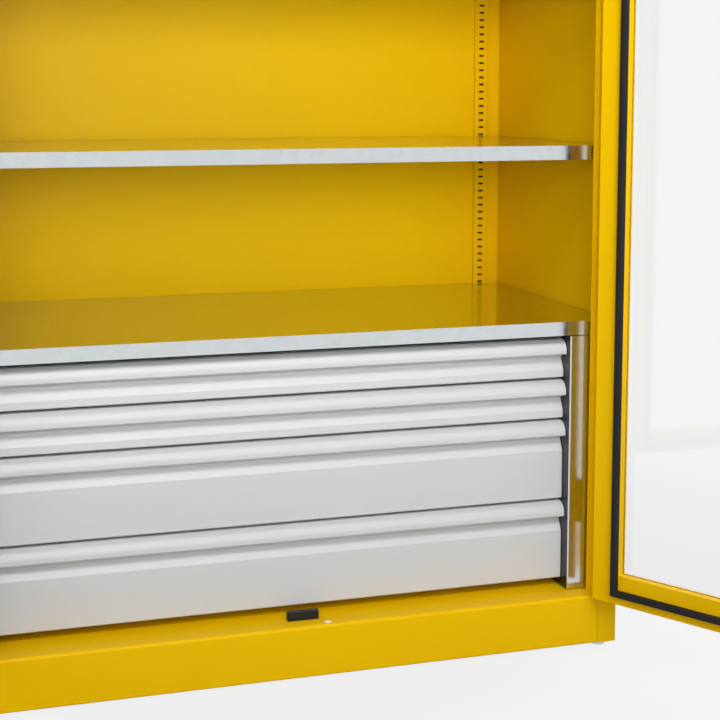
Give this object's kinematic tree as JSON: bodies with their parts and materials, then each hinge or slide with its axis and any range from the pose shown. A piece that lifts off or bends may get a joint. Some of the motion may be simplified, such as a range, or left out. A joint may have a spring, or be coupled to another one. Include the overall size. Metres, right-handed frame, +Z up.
{
  "type": "heavy-duty drawer cabinet",
  "caption": "Tall steel workshop cabinet with glazed wing doors, adjustable shelves above and a block of full-width drawers on telescopic slides below.",
  "frame": {"origin": "on the floor, under the middle of the carcass's width and depth", "axes": "+X to the right as one faces the doors, +Y from the front to the rear, +Z up"},
  "size_m": [1.651, 1.115, 1.95],
  "materials": {
    "yellow_paint": "smooth semi-gloss powder coat",
    "grey_paint": "fine-textured pale grey powder coat",
    "galvanised_sheet": "bright galvanised sheet with faint spangle",
    "zinc_plate": "bright zinc plate",
    "clear_acrylic": "clear polished sheet",
    "black_rubber": "matt black foam rubber",
    "black_plastic": "matt black moulded plastic"
  },
  "bodies": {
    "carcass": {"side_panel_left": "yellow_paint", "side_panel_right": "yellow_paint", "back_panel": "yellow_paint", "top_panel": "yellow_paint", "floor_panel": "yellow_paint", "base_side_left": "yellow_paint", "base_side_right": "yellow_paint", "base_rear": "yellow_paint", "levelling_feet": "zinc_plate", "rear_rail_left": "yellow_paint", "rear_rail_right": "yellow_paint", "front_rail_left": "yellow_paint", "front_rail_right": "yellow_paint", "shelf_1": "galvanised_sheet", "shelf_2": "galvanised_sheet", "shelf_3": "galvanised_sheet", "shelf_4": "galvanised_sheet", "shelf_clips": "zinc_plate", "drawer_housing_left": "galvanised_sheet", "drawer_housing_right": "galvanised_sheet", "door_stop_block": "black_plastic", "post_hinges": "yellow_paint", "drawer_1_cabinet_rails": "zinc_plate", "drawer_2_cabinet_rails": "zinc_plate", "drawer_3_cabinet_rails": "zinc_plate", "drawer_4_cabinet_rails": "zinc_plate"},
    "right_door": {"door_frame_right": "yellow_paint", "door_pane_right": "clear_acrylic", "door_seal_right": "black_rubber", "door_hinge_right": "yellow_paint", "lock_case": "zinc_plate", "lock_rosette": "zinc_plate", "rod_guides": "black_plastic"},
    "left_door": {"door_frame_left": "yellow_paint", "door_pane_left": "clear_acrylic", "door_seal_left": "black_rubber", "door_hinge_left": "yellow_paint", "meeting_strip": "yellow_paint"},
    "lock_spindle": {"lock_handle": "black_plastic", "lock_cam": "zinc_plate"},
    "upper_rod": {"lock_rod_upper": "zinc_plate"},
    "lower_rod": {"lock_rod_lower": "zinc_plate"},
    "drawer_1": {"drawer_1_front": "grey_paint", "drawer_1_tray": "grey_paint", "drawer_1_tray_rails": "zinc_plate"},
    "drawer_1_middle": {"drawer_1_middle_rails": "zinc_plate"},
    "drawer_2": {"drawer_2_front": "grey_paint", "drawer_2_tray": "grey_paint", "drawer_2_tray_rails": "zinc_plate"},
    "drawer_2_middle": {"drawer_2_middle_rails": "zinc_plate"},
    "drawer_3": {"drawer_3_front": "grey_paint", "drawer_3_tray": "grey_paint", "drawer_3_tray_rails": "zinc_plate"},
    "drawer_3_middle": {"drawer_3_middle_rails": "zinc_plate"},
    "drawer_4": {"drawer_4_front": "grey_paint", "drawer_4_tray": "grey_paint", "drawer_4_tray_rails": "zinc_plate"},
    "drawer_4_middle": {"drawer_4_middle_rails": "zinc_plate"}
  },
  "joints": [
    {"name": "right_door_hinge", "type": "hinge", "parent": "carcass", "child": "right_door", "pos_m": [0.5545, -0.3063, 0], "axis": [0, 0, 1], "range_deg": [-120, 50]},
    {"name": "left_door_hinge", "type": "hinge", "parent": "carcass", "child": "left_door", "pos_m": [-0.5545, -0.3063, 0], "axis": [0, 0, -1], "range_deg": [-120, 50]},
    {"name": "lock_turn", "type": "hinge", "parent": "right_door", "child": "lock_spindle", "pos_m": [0.80129, -0.74636, 1.05], "axis": [-0.866, -0.5, 0], "range_deg": [0, 90]},
    {"name": "upper_rod_slide", "type": "slide", "parent": "right_door", "child": "upper_rod", "axis": [0, 0, 1], "range_m": [0, 0.0198]},
    {"name": "lower_rod_slide", "type": "slide", "parent": "right_door", "child": "lower_rod", "axis": [0, 0, -1], "range_m": [0, 0.0199]},
    {"name": "drawer_1_slide", "type": "slide", "parent": "carcass", "child": "drawer_1", "axis": [0, -1, 0], "range_m": [0, 0.44]},
    {"name": "drawer_1_middle_slide", "type": "slide", "parent": "carcass", "child": "drawer_1_middle", "axis": [0, -1, 0], "range_m": [0, 0.22]},
    {"name": "drawer_2_slide", "type": "slide", "parent": "carcass", "child": "drawer_2", "axis": [0, -1, 0], "range_m": [0, 0.44]},
    {"name": "drawer_2_middle_slide", "type": "slide", "parent": "carcass", "child": "drawer_2_middle", "axis": [0, -1, 0], "range_m": [0, 0.22]},
    {"name": "drawer_3_slide", "type": "slide", "parent": "carcass", "child": "drawer_3", "axis": [0, -1, 0], "range_m": [0, 0.44]},
    {"name": "drawer_3_middle_slide", "type": "slide", "parent": "carcass", "child": "drawer_3_middle", "axis": [0, -1, 0], "range_m": [0, 0.22]},
    {"name": "drawer_4_slide", "type": "slide", "parent": "carcass", "child": "drawer_4", "axis": [0, -1, 0], "range_m": [0, 0.44]},
    {"name": "drawer_4_middle_slide", "type": "slide", "parent": "carcass", "child": "drawer_4_middle", "axis": [0, -1, 0], "range_m": [0, 0.22]}
  ],
  "couplings": [
    {"joint": "lock_turn", "follows": "upper_rod_slide", "rad_per_m": 79.33},
    {"joint": "lower_rod_slide", "follows": "upper_rod_slide", "ratio": 1},
    {"joint": "drawer_1_middle_slide", "follows": "drawer_1_slide", "ratio": 0.5},
    {"joint": "drawer_2_middle_slide", "follows": "drawer_2_slide", "ratio": 0.5},
    {"joint": "drawer_3_middle_slide", "follows": "drawer_3_slide", "ratio": 0.5},
    {"joint": "drawer_4_middle_slide", "follows": "drawer_4_slide", "ratio": 0.5}
  ]
}
